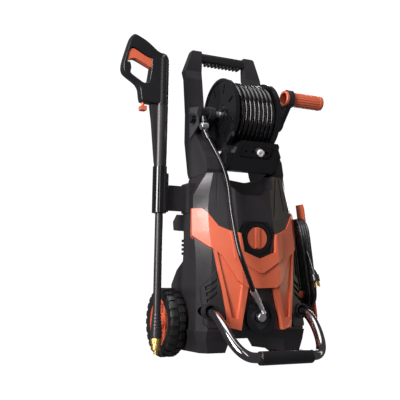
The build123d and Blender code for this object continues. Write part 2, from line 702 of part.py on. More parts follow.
upper_level, lower_level = hank_reach / 2, -hank_reach / 2
boss_face = -hank_width / 2 - 0.4
cord_hook_upper = hook_paddle(upper_level, 1) + hook_arm(upper_level, boss_face + 0.3)
cord_hook_upper = cord_hook_upper + rod((boss_face + 1, 0, upper_level), (boss_face - 6, 0, upper_level), 5)
cord_hook_upper = hank_place(cord_hook_upper)
hook_boss = rod((boss_face - 30, 0, upper_level), (boss_face, 0, upper_level), 15)
hook_boss = hook_boss - rod((boss_face - 7, 0, upper_level), (boss_face + 1, 0, upper_level), 5 + running_gap)
rear_housing = rear_housing + (hank_place(hook_boss) - body_solid)
boss_space = rod((boss_face - 40, 0, upper_level), (boss_face + 2, 0, upper_level), 15.5)
orange_band = orange_band - hank_place(stadium(hank_outer + 1.5, hank_width + 3) + boss_space)
cord_hook_lower = hank_place(hook_paddle(lower_level, -1) + hook_arm(lower_level, -70)) - body_solid

gland_start = (150, 58, 226)
gland_end = (172, 46, 250)
gland_way = (Vector(*gland_end) - Vector(*gland_start)).normalized()
cord_gland = cone(gland_start, gland_end, 9.5, 6.0) - body_solid
lead_in_route = [gland_end, Vector(*gland_end) + gland_way * 29, (192, 12, 302)]
lead_in = route_tube(lead_in_route, cord_diameter / 2, "cord, gland to hank") - power_hank
lead_out_route = [(191, -63, 292), (192, -79, 266), (193, -88, 240)]
lead_out = route_tube(lead_out_route, cord_diameter / 2, "cord, hank to plug") - power_hank
plug_back = Vector(*lead_out_route[-1])
plug_way = (plug_back - Vector(*lead_out_route[-2])).normalized()
plug_front = plug_back + plug_way * 34
plug_body = cone(plug_back, plug_back + plug_way * 16, 6, 10.5)
plug_body = plug_body + rod(plug_back + plug_way * 16, plug_front, 12.5)
blade_side = Vector(1, 0, 0).cross(plug_way).normalized() * 6.3
plug_blades = []
for shift in (blade_side, blade_side * -1):
    plane = Plane(origin=plug_front + shift, x_dir=blade_side, z_dir=plug_way)
    plug_blades.append(plane * Pos(0, 0, 8) * Box(1.6, 6.4, 16))
ground = rod(plug_front + Vector(8, 0, 3), plug_front + Vector(8, 0, 3) + plug_way * 18, 2.4)

# Internals
motor_can = rod((0, 4, 236), (0, 4, 396), 54)
motor_can = motor_can - rod((0, 4, 240), (0, 4, 392), 50)
motor_can = motor_can - rod((0, 4, 230), (0, 4, 400), 7.05)
motor_rotor = rod((0, 4, 206), (0, 4, 422), 7.0) + rod((0, 4, 246), (0, 4, 386), 34)
motor_rotor = motor_rotor + rod((0, 4, 400), (0, 4, 404), 46) + rod((0, 4, 404), (0, 4, 418), 12)
for step in range(7):
    blade = Pos(0, 4, 404) * Rot(0, 0, 360 / 7 * step) * Pos(28, 0, 7) * Box(34, 3, 14)
    motor_rotor = motor_rotor + blade
pump_body = block((-46, -46, 128), (46, 54, 200)) + block((-40, -50, 92), (40, 50, 128))
pump_body = pump_body + rod((0, 4, 200), (0, 4, 235.8), 44) - rod((0, 4, 196), (0, 4, 237), 36)
pump_body = pump_body + rod((0, -69.8, outlet_z), (0, -50, outlet_z), 12)
pump_body = pump_body + rod((0, 50, inlet_z - 14), (0, 63.8, inlet_z - 14), 9)
pump_body = pump_body + block((-20, 63.8 - 10, inlet_z - 26), (20, 63.8, inlet_z + 18))
switch_box = block((-26, -80, 296), (26, -58.5, 352))
switch_box = switch_box - rod((0, -100, knob_z), (0, -70, knob_z), 7.5)

inlet_face = 140.0


def inlet_rod(start_y, end_y, radius):
    return rod((0, start_y, inlet_z), (0, end_y, inlet_z), radius)


water_inlet = inlet_rod(64, inlet_face, 16.9) + inlet_rod(inlet_face, inlet_face + 4, 22)
water_inlet = water_inlet + inlet_rod(inlet_face + 4, inlet_face + 20, 13.2)
water_inlet = water_inlet - inlet_rod(70, inlet_face + 30, 8) - rear_housing


def screw(place, toward):
    """A pan-head screw whose head sits on the wall at place."""
    place, toward = Vector(*place), Vector(*toward)
    return rod(place - toward * 3, place, 4.5) + rod(place, place + toward * 12, 2)


screw_places = []
for screw_z in (470, 420, 190, 130):
    back_y = outline_at(body_outline, screw_z)[3][1]
    for side in (-1, 1):
        screw_places.append((side * 100, back_y, screw_z))
case_screws = [screw(place, (0, -1, 0)) for place in screw_places]
for item in case_screws:
    rear_housing = rear_housing - item

# Grip bar of the handle
grip_bar = block((-arm_inner, 94, 856), (arm_inner, 119, 885))
for step in range(10):
    tooth_x = -54 + 12 * step
    grip_bar = grip_bar + block((tooth_x - 3.5, 98, 848), (tooth_x + 3.5, 115, 856))

jumper_route = [
    (-123, -32, 621.4), (-106, -54, 570), (-92, -86, 515), (-88, -110, 458), (-91, -126, 400),
    (-91, -147, 340), (-88, -165, 284), (-70, -172, 232), jumper_ferrule_top,
]
jumper_hose = route_tube(jumper_route, jumper_diameter / 2, "jumper hose")
crimp_low = rod(jumper_ferrule_top, Vector(*jumper_tail) + ferrule_axis * 16, 8.6) - stub
top_axis = (Vector(*jumper_route[1]) - Vector(*jumper_route[0])).normalized()
top_end = Vector(*jumper_route[0])
jumper_sleeve = tube(top_end + top_axis * 0.5, top_end + top_axis * 30, 10, jumper_diameter / 2 + 0.03)
jumper_sleeve = jumper_sleeve - swivel_banjo - swivel_body
jumper_hose = jumper_hose - swivel_banjo

nodes = {
    "rear_housing": rear_housing,
    "front_cover": front_cover,
    "base_shell": base_shell,
    "handle_grip": grip_bar,
    "orange_band": orange_band,
    "leg_trims": Compound(children=[item.solid() for item in both(leg)]),
    "vent_panels": Compound(children=[item.solid() for item in both(vent)]),
    "knob_bezel": bezel,
    "selector_knob": selector_knob,
    "outlet_collar": collar,
    "outlet_fitting": outlet_fitting,
    "stand_bar": stand_bar,
    "stand_grip": grip_sleeve,
    "bar_rings": Compound(children=[item.solid() for item in bar_rings]),
    "wheel_axle": wheel_axle,
    "tyre_left": mirrored(tyre_right),
    "tyre_right": tyre_right,
    "rim_left": mirrored(rim_right),
    "rim_right": rim_right,
    "reel_flange_left": flange_left,
    "reel_flange_right": flange_right,
    "reel_drum": reel_drum,
    "reel_axle": reel_axle,
    "hose_coil": hose_coil,
    "hose_connector": hose_connector,
    "reel_bracket_left": bracket_left,
    "reel_bracket_right": bracket_right,
    "bracket_side_plate": side_plate,
    "reel_lock_knob": lock_knob,
    "swivel_elbow": swivel_body,
    "swivel_banjo": swivel_banjo,
    "crank_arm": crank_arm,
    "crank_grip": crank_grip,
    "label_plate": label_plate,
    "nozzle_in_tray": nozzle_in_tray,
    "holster": holster,
    "gun_body": gun_place(gun_body),
    "trigger": gun_place(trigger),
    "inlet_clip": gun_place(inlet_clip),
    "lance_sleeve": gun_place(lance_sleeve),
    "lance_holder": gun_place(lance_holder),
    "lance_tube": gun_place(lance_tube),
    "vario_sleeve": gun_place(vario_sleeve),
    "spray_tip": gun_place(spray_tip),
    "cord_hook_upper": cord_hook_upper,
    "cord_hook_lower": cord_hook_lower,
    "cord_gland": cord_gland,
    "power_cord_in": lead_in,
    "power_hank": power_hank,
    "power_cord_out": lead_out,
    "plug_body": plug_body,
    "plug_blades": Compound(children=[(item - plug_body).solid() for item in plug_blades + [ground]]),
    "jumper_hose": jumper_hose,
    "jumper_crimps": Compound(children=[(item - jumper_hose).solid() for item in (jumper_sleeve, crimp_low)]),
    "motor_can": motor_can,
    "motor_rotor": motor_rotor,
    "pump_body": pump_body,
    "switch_box": switch_box,
    "water_inlet": water_inlet,
    "case_screws": Compound(children=[item.solid() for item in case_screws]),
}

# The origin goes to the bottom centre of everything but the cords and their ends
cord_names = ("hose_coil", "hose_connector", "power_cord_in", "power_hank", "power_cord_out",
              "plug_body", "plug_blades", "jumper_hose")
boxes = [shape.bounding_box() for name, shape in nodes.items() if name not in cord_names]
origin_x = (min(box.min.X for box in boxes) + max(box.max.X for box in boxes)) / 2
origin_y = (min(box.min.Y for box in boxes) + max(box.max.Y for box in boxes)) / 2
print("origin moved by", round(-origin_x, 3), round(-origin_y, 3))

for name, shape in nodes.items():
    moved = Pos(-origin_x, -origin_y, 0) * shape
    export_step(moved, f"parts/{name}.step")
    print(name, round(shape.volume / 1000, 1), len(shape.solids()))
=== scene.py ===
"""The looks of the pressure washer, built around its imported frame.

Lengths in this file are millimetres in the machine's own frame, where x = 0 is the middle plane,
the front faces -Y and z = 0 is the floor. at() turns them into the row frame, in metres.
"""
import json
import math

import bmesh
import bpy
from mathutils import Matrix, Vector
from mathutils.geometry import tessellate_polygon


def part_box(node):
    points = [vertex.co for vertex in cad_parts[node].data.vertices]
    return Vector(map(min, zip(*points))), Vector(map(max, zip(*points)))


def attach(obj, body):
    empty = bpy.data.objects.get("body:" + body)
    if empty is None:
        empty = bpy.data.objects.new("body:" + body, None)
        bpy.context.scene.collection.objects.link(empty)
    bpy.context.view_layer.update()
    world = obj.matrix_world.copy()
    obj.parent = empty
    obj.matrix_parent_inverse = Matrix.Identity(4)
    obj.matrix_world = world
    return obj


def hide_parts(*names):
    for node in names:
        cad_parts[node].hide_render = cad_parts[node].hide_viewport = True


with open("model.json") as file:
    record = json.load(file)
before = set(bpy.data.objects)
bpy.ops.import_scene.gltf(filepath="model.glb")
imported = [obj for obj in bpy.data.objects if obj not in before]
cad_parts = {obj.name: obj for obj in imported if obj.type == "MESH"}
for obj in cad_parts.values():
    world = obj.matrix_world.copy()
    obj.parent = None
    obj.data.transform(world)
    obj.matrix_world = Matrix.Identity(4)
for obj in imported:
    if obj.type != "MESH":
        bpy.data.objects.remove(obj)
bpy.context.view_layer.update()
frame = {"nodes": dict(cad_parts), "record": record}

MM = 0.001
nodes = frame["nodes"]
body_of = {}
for body, members in frame["record"]["behaviour"]["bodies"].items():
    for member in members:
        body_of[member] = body

# The machine's frame, found from two nodes that lie on its middle plane and its wheel axis
wheel_y, wheel_z = 89.0, 95.0
grip_low, grip_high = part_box("stand_grip")
axle_low, axle_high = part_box("wheel_axle")
ORIGIN = Vector(((grip_low.x + grip_high.x) / 2, (axle_low.y + axle_high.y) / 2 - wheel_y * MM, 0))

reel_y, reel_z = -24.0, 671.0
drum_left, drum_right = -63.0, 56.0
hose_radius = 6.5
gun_x, gun_y, gun_pivot_z, gun_lean = -227.0, 33.0, 450.0, 0.7
crank_eye = (-88.0, 724.0)

# The jumper hose runs from the swivel beside the reel down to a ferrule that leads to its tail
jumper_route = [
    (-123, -32, 621.4), (-106, -54, 570), (-92, -86, 515), (-88, -110, 458), (-91, -126, 400),
    (-91, -147, 340), (-88, -165, 284), (-70, -172, 232), (-42, -159, 182),
]
jumper_tail = (8, -130, 122)


def at(x, y, z):
    """A point of the machine in the row frame."""
    return ORIGIN + Vector((x, y, z)) * MM


GUN = Matrix.Translation(at(gun_x, gun_y, gun_pivot_z)) @ Matrix.Rotation(math.radians(gun_lean), 4, "Y")


def on_gun(x, y, z):
    """A point given about the gun's own barrel axis, in the row frame."""
    return GUN @ (Vector((x, y, z - gun_pivot_z)) * MM)


# The barrel's axis, whose heights count from the floor
BARREL = GUN @ Matrix.Translation((0, 0, -gun_pivot_z * MM))


# Materials

# Noise cells per metre
colour_patches = 9.0
gloss_patches = 40
grain_patches = 1000

grain_depth = 0.0003  # metres
worn_edge = (0.53, 0.62)  # the pointiness where wear starts and where it is full


def finish(name, colour, roughness, metallic=0.0, coat=0.0, shade=0.12,
           grain=0.0, grain_size=1.0, rough_shift=0.06, worn=0.0, streak=0.0):
    """A procedural finish: uneven colour and gloss, a fine surface grain and lighter worn edges.
    Streak, from 0 to 1, stretches the uneven gloss and the grain along Z."""
    material = bpy.data.materials.new(name)
    material.use_nodes = True
    tree = material.node_tree
    shader = tree.nodes["Principled BSDF"]
    shader.inputs["Metallic"].default_value = metallic
    shader.inputs["Coat Weight"].default_value = coat
    shader.inputs["Coat Roughness"].default_value = 0.1
    place = tree.nodes.new("ShaderNodeTexCoord")

    def cloud(scale, detail, squash=(1, 1, 1)):
        mapping = tree.nodes.new("ShaderNodeMapping")
        mapping.inputs["Scale"].default_value = squash
        tree.links.new(place.outputs["Object"], mapping.inputs["Vector"])
        texture = tree.nodes.new("ShaderNodeTexNoise")
        texture.inputs["Scale"].default_value = scale
        texture.inputs["Detail"].default_value = detail
        tree.links.new(mapping.outputs["Vector"], texture.inputs["Vector"])
        return texture.outputs["Fac"]

    ramp = tree.nodes.new("ShaderNodeValToRGB")
    ramp.color_ramp.elements[0].position = 0.35
    ramp.color_ramp.elements[1].position = 0.65
    ramp.color_ramp.elements[0].color = [c * (1 - shade) for c in colour] + [1]
    ramp.color_ramp.elements[1].color = [min(1, c * (1 + shade)) for c in colour] + [1]
    tree.links.new(cloud(colour_patches, 3), ramp.inputs["Fac"])
    colour_out = ramp.outputs["Color"]
    if worn:
        geometry = tree.nodes.new("ShaderNodeNewGeometry")
        edge = tree.nodes.new("ShaderNodeMapRange")
        edge.inputs["From Min"].default_value = worn_edge[0]
        edge.inputs["From Max"].default_value = worn_edge[1]
        edge.inputs["To Max"].default_value = worn
        tree.links.new(geometry.outputs["Pointiness"], edge.inputs["Value"])
        mix = tree.nodes.new("ShaderNodeMix")
        mix.data_type = "RGBA"
        mix.inputs["B"].default_value = [min(1, c * 1.6 + 0.03) for c in colour] + [1]
        tree.links.new(edge.outputs["Result"], mix.inputs["Factor"])
        tree.links.new(colour_out, mix.inputs["A"])
        colour_out = mix.outputs["Result"]
    tree.links.new(colour_out, shader.inputs["Base Color"])
    rough = tree.nodes.new("ShaderNodeMapRange")
    rough.inputs["To Min"].default_value = max(0.02, roughness - rough_shift)
    rough.inputs["To Max"].default_value = min(1.0, roughness + rough_shift)
    tree.links.new(cloud(gloss_patches, 4, (1, 1, 1 - 0.9 * streak)), rough.inputs["Value"])
    tree.links.new(rough.outputs["Result"], shader.inputs["Roughness"])
    if grain:
        bump = tree.nodes.new("ShaderNodeBump")
        bump.inputs["Strength"].default_value = grain
        bump.inputs["Distance"].default_value = grain_depth
        fine = cloud(grain_patches / grain_size, 2, (1, 1, 1 - 0.95 * streak))
        tree.links.new(fine, bump.inputs["Height"])
        tree.links.new(bump.outputs["Normal"], shader.inputs["Normal"])
    return material


FINISHES = {
    "body_black": finish("satin_charcoal", (0.0195, 0.018, 0.020), 0.34,
                         grain=0.16, grain_size=1.1, worn=0.22),
    "gloss_black": finish("polished_black", (0.006, 0.006, 0.007), 0.12, coat=0.4, rough_shift=0.03),
    "gun_black": finish("polished_charcoal", (0.0105, 0.0105, 0.0115), 0.28, coat=0.1, grain=0.05, worn=0.15),
    "orange": finish("moulded_orange", (0.62, 0.125, 0.058), 0.33,
                     coat=0.3, shade=0.05, grain=0.06, worn=0.25),
    "grey_plastic": finish("satin_grey", (0.045, 0.045, 0.05), 0.42, grain=0.2, worn=0.2),
    "dark_chrome": finish("dark_plating", (0.30, 0.285, 0.29), 0.12,
                          metallic=1.0, shade=0.06, rough_shift=0.03),
    "silver": finish("bright_plating", (0.9, 0.9, 0.92), 0.3, metallic=1.0, shade=0.04, rough_shift=0.04),
    "steel": finish("turned_steel", (0.5, 0.5, 0.52), 0.3, metallic=1.0, grain=0.2, streak=1.0),
    "brass": finish("turned_brass", (0.8, 0.52, 0.16), 0.34, metallic=1.0, shade=0.07, grain=0.1, streak=1.0),
    "tyre": finish("tyre_rubber", (0.006, 0.006, 0.0065), 0.36, grain=0.2, grain_size=1.6, worn=0.2),
    "hose_rubber": finish("hose_jacket", (0.004, 0.004, 0.005), 0.17, coat=0.2, rough_shift=0.02),
    "cord_rubber": finish("cord_jacket", (0.009, 0.009, 0.010), 0.25, coat=0.25, rough_shift=0.04),
    "grip_rubber": finish("soft_grip", (0.009, 0.0085, 0.0095), 0.22, coat=0.2, grain=0.08, worn=0.2),
    "white_plastic": finish("white_moulding", (0.85, 0.85, 0.83), 0.32, shade=0.03, grain=0.08),
    "cast_aluminium": finish("cast_metal", (0.58, 0.58, 0.6), 0.45, metallic=1.0, grain=0.7, grain_size=2.0),
}


# Making pieces

weld_distance = 0.05 * MM
flat_angle = math.radians(0.5)  # CAD triangles that meet at less than this are merged


def settle(piece, body, slot, stands_for=(), finish_name=None):
    """Gives a piece its finish and its body, and hides the CAD nodes that it stands for."""
    piece.data.materials.clear()
    piece.data.materials.append(FINISHES[finish_name or slot])
    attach(piece, body)
    if stands_for:
        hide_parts(*stands_for)
    return piece


def linked(name, data):
    """A new object in the scene."""
    piece = bpy.data.objects.new(name, data)
    bpy.context.scene.collection.objects.link(piece)
    return piece


def shade_mesh(shape, sharp):
    """Smooth shading except across edges sharper than sharp degrees."""
    bmesh.ops.recalc_face_normals(shape, faces=shape.faces)
    for face in shape.faces:
        face.smooth = True
    for edge in shape.edges:
        edge.smooth = len(edge.link_faces) == 2 and edge.calc_face_angle(0) < math.radians(sharp)


def piece_from(name, shape, sharp=40.0):
    """An object from a bmesh, with weighted normals so that flat faces stay flat."""
    shade_mesh(shape, sharp)
    mesh = bpy.data.meshes.new(name)
    shape.to_mesh(mesh)
    shape.free()
    piece = linked(name, mesh)
    normals = piece.modifiers.new("even_normals", "WEIGHTED_NORMAL")
    normals.keep_sharp = True
    return piece


def refined(node, slot, width, angle=28.0, sharp=50.0):
    """A copy of a CAD node with rounded edges, which stands for the node.
    Edges sharper than angle degrees are rounded to a width in millimetres."""
    shape = bmesh.new()
    shape.from_mesh(nodes[node].data)
    bmesh.ops.remove_doubles(shape, verts=shape.verts, dist=weld_distance)
    bmesh.ops.dissolve_limit(shape, angle_limit=flat_angle, verts=shape.verts, edges=shape.edges)
    limit = math.radians(angle)
    edges = [e for e in shape.edges if len(e.link_faces) == 2 and e.calc_face_angle(0) > limit]
    bmesh.ops.bevel(shape, geom=edges, offset=width * MM, offset_type="OFFSET", segments=2, profile=0.5,
                    affect="EDGES", clamp_overlap=True, loop_slide=True)
    return settle(piece_from(node + "_shown", shape, sharp), body_of[node], slot, [node])


def smooth_line(name, points, radius, steps):
    """A round cord along a smooth line guided by the points."""
    curve = bpy.data.curves.new(name, "CURVE")
    curve.dimensions = "3D"
    curve.bevel_depth = radius * MM
    curve.bevel_resolution = 5
    curve.resolution_u = steps
    curve.use_fill_caps = True
    spline = curve.splines.new("NURBS")
    spline.points.add(len(points) - 1)
    for knot, point in zip(spline.points, points):
        knot.co = (*point, 1)
    spline.order_u = 3
    spline.use_endpoint_u = True
    return linked(name, curve)


def bridge(shape, low, high):
    """Faces between two rings of vertices, of which one may be a single point."""
    steps = max(len(low), len(high))
    for step in range(steps):
        after = (step + 1) % steps
        corners = [low[step % len(low)], low[after % len(low)]]
        corners += [high[after % len(high)], high[step % len(high)]]
        face = []
        for corner in corners:
            if corner not in face:
                face.append(corner)
        if len(face) > 2:
            shape.faces.new(face)


def lathe(shape, profile, place, steps=48, ridges=0, depth=0.0, between=(0, 0)):
    """Turns a profile of (radius, height) about the Z axis of a matrix, in millimetres.
    A profile that ends where it starts is hollow. Ridges run along the heights in between."""
    hollow = profile[0] == profile[-1]
    rings = []
    for radius, height in profile[:-1] if hollow else profile:
        if radius < 0.01:
            rings.append([shape.verts.new(place @ (Vector((0, 0, height)) * MM))])
            continue
        ring = []
        ridged = between[0] <= height <= between[1]
        for step in range(steps):
            angle = 2 * math.pi * step / steps
            groove = depth * (0.5 + 0.5 * math.cos(ridges * angle)) if ridged else 0
            reach = radius - groove
            spot = Vector((reach * math.cos(angle), reach * math.sin(angle), height)) * MM
            ring.append(shape.verts.new(place @ spot))
        rings.append(ring)
    for low, high in zip(rings, rings[1:] + rings[:1] if hollow else rings[1:]):
        bridge(shape, low, high)
    for ring in (rings[0], rings[-1]):
        if len(ring) > 2 and not hollow:
            shape.faces.new(ring)


def bent_tube(shape, route, radius, steps=12, sides=48):
    """A bent metal tube, curved from the middle of one run of its route to the middle of the next."""
    route = [Vector(spot) for spot in route]
    middles = [(a + b) / 2 for a, b in zip(route, route[1:])]
    middles[0], middles[-1] = route[0], route[-1]
    line = []
    for start, bend, end in zip(middles, route[1:], middles[1:]):
        for step in range(steps):
            t = step / steps
            line.append((1 - t) ** 2 * start + 2 * t * (1 - t) * bend + t ** 2 * end)
    line.append(middles[-1])
    rings = []
    side = Vector((1, 0, 0))
    for before, spot, after in zip(line[:1] + line, line, line[1:] + line[-1:]):
        along = (after - before).normalized()
        side = (side - along * side.dot(along)).normalized()
        across = along.cross(side)
        ring = []
        for step in range(sides):
            angle = 2 * math.pi * step / sides
            outward = side * math.cos(angle) + across * math.sin(angle)
            ring.append(shape.verts.new(at(*(spot + radius * outward))))
        rings.append(ring)
    for low, high in zip(rings, rings[1:]):
        bridge(shape, low, high)
    shape.faces.new(rings[0])
    shape.faces.new(rings[-1])


def rounded(outline, passes=2, share=0.2):
    """A closed outline with its corners cut and cut again into curves."""
    for _ in range(passes):
        cut = []
        for (x0, y0), (x1, y1) in zip(outline, outline[1:] + outline[:1]):
            cut.append((x0 + (x1 - x0) * share, y0 + (y1 - y0) * share))
            cut.append((x1 - (x1 - x0) * share, y1 - (y1 - y0) * share))
        outline = cut
    return outline


def signed_area(outline):
    """Twice the outline's area, negative where it runs clockwise."""
    return sum(a[0] * b[1] - b[0] * a[1] for a, b in zip(outline, outline[1:] + outline[:1]))


def inset(outline, amount):
    """The outline with every side moved towards the inside of its loop."""
    moved = []
    count = len(outline)
    way = 1 if signed_area(outline) > 0 else -1
    for i in range(count):
        before, here, after = outline[i - 1], outline[i], outline[(i + 1) % count]
        a = Vector((here[0] - before[0], here[1] - before[1])).normalized()
        b = Vector((after[0] - here[0], after[1] - here[1])).normalized()
        mitre = Vector((-a.y - b.y, a.x + b.x))
        mitre *= way / max(0.6, mitre.length_squared / 2)
        moved.append((here[0] + mitre.x * amount, here[1] + mitre.y * amount))
    return moved


def pillow(shape, loops, low, high, place, narrow=3.0, deep=6.0, steps=4):
    """A plate between two depths with softly rounded rims. The first loop is its outside and
    any others are holes. Each rim is drawn in by narrow over a depth of deep. place turns
    (u, depth, v) in millimetres into the row frame."""
    levels = []
    for step in range(steps + 1):
        angle = math.pi / 2 * step / steps
        levels.append((low + deep * (1 - math.cos(angle)), narrow * (1 - math.sin(angle))))
    levels += [(low + high - depth, amount) for depth, amount in reversed(levels)]
    rings_of = []
    for number, loop in enumerate(loops):
        rings = []
        for depth, amount in levels:
            ring = inset(loop, amount if number == 0 else -amount)
            rings.append([shape.verts.new(place(u, depth, v)) for u, v in ring])
        for first, second in zip(rings, rings[1:]):
            bridge(shape, first, second)
        rings_of.append(rings)
    for end in (0, -1):
        flat, corners = [], []
        for loop, rings in zip(loops, rings_of):
            amount = levels[0][1] if loop is loops[0] else -levels[0][1]
            flat.append([Vector((u, v, 0)) for u, v in inset(loop, amount)])
            corners += rings[end]
        for triangle in tessellate_polygon(flat):
            shape.faces.new([corners[i] for i in triangle])


def carved(piece, cutters):
    """Cuts the given objects out of a piece and removes them."""
    for cutter in cutters:
        cut = piece.modifiers.new("cut", "BOOLEAN")
        cut.operation = "DIFFERENCE"
        cut.object = cutter
        cut.solver = "EXACT"
    depsgraph = bpy.context.evaluated_depsgraph_get()
    mesh = bpy.data.meshes.new_from_object(piece.evaluated_get(depsgraph))
    piece.modifiers.clear()
    piece.data = mesh
    for cutter in cutters:
        bpy.data.objects.remove(cutter)


# Cords and hoses

def make_jumper():
    points = [at(*point) for point in jumper_route]
    hose = smooth_line("jumper_hose_shown", points, hose_radius, steps=16)
    settle(hose, "chassis", "hose_rubber", ["jumper_hose"])


def reel_hose_points():
    """The hose's two layers on the drum: it winds to the right, climbs and winds back."""
    per_turn = 24
    inner_radius, outer_radius = 75.2, 88.5
    end_x, neighbour_x = drum_left + 8.5, drum_left + 24.0
    right_x = drum_right - 7.0
    pitch = 13.3
    layer_turns = (right_x - neighbour_x) / pitch
    climb_turns = 0.25
    last_turns = 1.0
    total = layer_turns + climb_turns + layer_turns + last_turns
    end_angle = math.radians(15.7)
    points = []
    count = round(total * per_turn)
    for step in range(count + 1):
        turn = total * step / count
        angle = end_angle + 2 * math.pi * (total - turn)
        if turn < layer_turns:
            x, radius = neighbour_x + pitch * turn, inner_radius
        elif turn < layer_turns + climb_turns:
            climb = (turn - layer_turns) / climb_turns
            x, radius = right_x, inner_radius + (outer_radius - inner_radius) * climb
        elif turn < layer_turns + climb_turns + layer_turns:
            x, radius = right_x - pitch * (turn - layer_turns - climb_turns), outer_radius
        else:
            last = (turn - (total - last_turns)) / last_turns
            x, radius = neighbour_x + (end_x - neighbour_x) * last, outer_radius
        points.append(at(x, reel_y + radius * math.cos(angle), reel_z + radius * math.sin(angle)))
    return points


def make_reel_hose():
    points = reel_hose_points()
    hose = smooth_line("reel_hose", points, hose_radius, steps=3)
    settle(hose, "reel", "hose_rubber", ["hose_coil"])
    connector = refined("hose_connector", "brass", 0.4)


hank_top, hank_bottom, hank_y = (181.0, 350.0), (205.0, 172.0), -27.0
hank_pitch, hank_inner_radius, hank_layers = 7.6, 12.2, 4
hank_reach = math.hypot(hank_bottom[0] - hank_top[0], hank_top[1] - hank_bottom[1])
hank_tilt = math.atan2(hank_bottom[0] - hank_top[0], hank_top[1] - hank_bottom[1])
hank_middle = at((hank_top[0] + hank_bottom[0]) / 2, hank_y, (hank_top[1] + hank_bottom[1]) / 2)
HANK = Matrix.Translation(hank_middle) @ Matrix.Rotation(-hank_tilt, 4, "Y")
run_stops = (-0.72, -0.1, 0.55)  # where a turn's long run has points, in half lengths
bend_stops = (0, 36, 72, 108, 144, 180)


def on_hank(x, y, z):
    """A point in the hank's own frame, whose Z runs from the lower hook to the upper one."""
    return HANK @ (Vector((x, y, z)) * MM)


def winding_order():
    """Where each turn lies: (column, layer), inwards through two columns and back out."""
    order = []
    for layer in range(hank_layers - 1, -1, -1):
        pair = (2, 3) if layer % 2 else (3, 2)
        order += [(column, layer) for column in pair]
    for layer in range(hank_layers):
        pair = (0, 1) if layer % 2 else (1, 0)
        order += [(column, layer) for column in pair]
    return order


def hank_points():
    """Sixteen turns over the two hooks: up the back, over, down the front and under."""
    half = hank_reach / 2
    order = winding_order()
    points = []
    for turn, (column, layer) in enumerate(order):
        radius = hank_inner_radius + hank_pitch * (layer + 0.5)
        x = (column - 1.5) * hank_pitch
        loose = math.sin(2.1 * turn + 0.7)  # a different small shift for each turn
        bow = 0.9 * loose
        if turn:
            for z in [stop * half for stop in run_stops]:
                points.append(on_hank(x + bow * (1 - (z / half) ** 2), radius + 0.4 * loose, z))
        for degrees in bend_stops:
            angle = math.radians(degrees)
            points.append(on_hank(x, radius * math.cos(angle), half + radius * math.sin(angle)))
        if turn == len(order) - 1:
            points.append(on_hank(x, -radius, 0.6 * half))
            break
        for z in [stop * half for stop in reversed(run_stops)]:
            points.append(on_hank(x + bow * (1 - (z / half) ** 2), -radius - 0.4 * loose, z))
        next_column, next_layer = order[turn + 1]
        next_radius = hank_inner_radius + hank_pitch * (next_layer + 0.5)
        next_x = (next_column - 1.5) * hank_pitch
        for degrees in bend_stops:
            share = degrees / 180
            angle = math.radians(degrees)
            across = radius + (next_radius - radius) * share
            points.append(on_hank(x + (next_x - x) * share, -across * math.cos(angle),
                                  -half - across * math.sin(angle)))
    return points


def make_power_cord():
    """The mains lead, from its gland up to the hank and out of it to the plug."""
    radius, straight_run = 3.75, 29
    gland_start, gland_end = Vector((150, 58, 226)), Vector((172, 46, 250))
    lead = gland_end + (gland_end - gland_start).normalized() * straight_run
    points = [at(*gland_end), at(*lead), at(192, 12, 302)]
    points += hank_points()
    points += [at(191, -63, 292), at(192, -79, 266), at(193, -88, 240)]
    cord = smooth_line("power_cord", points, radius, steps=5)
    settle(cord, "chassis", "cord_rubber", ["power_cord_in", "power_hank", "power_cord_out"])
    plug = refined("plug_body", "cord_rubber", 1.2)
    blades = refined("plug_blades", "brass", 0.2)


make_jumper()
make_reel_hose()
make_power_cord()


# Pressure gun

trigger_pin_x, trigger_pin_z = -28, 805
trigger_swing, swing_step = 8, 2  # degrees
gun_half_width, slot_half_width, trigger_half_width = 15.5, 12.6, 11.8
slot_gap = 0.8


def trigger_turned(points, degrees):
    """Points of the gun's side view turned about the trigger's pin."""
    cos, sin = math.cos(math.radians(degrees)), math.sin(math.radians(degrees))
    turned = []
    for x, z in points:
        u, v = x - trigger_pin_x, z - trigger_pin_z
        turned.append((u * cos + v * sin + trigger_pin_x, v * cos - u * sin + trigger_pin_z))
    return turned


def gun_cutter(loop, half):
    """A closed prism across the gun, half wide to each side, to cut with."""
    shape = bmesh.new()
    pillow(shape, [loop], -half, half, on_gun, narrow=0.01, deep=0.01, steps=1)
    return piece_from("cutter", shape)


trigger_line = [
    (-22, 812), (-26, 797), (-34, 790.5), (-85, 811.5), (-99, 807), (-107, 800), (-103, 826),
    (-95, 838), (-87, 838), (-58, 824),
]


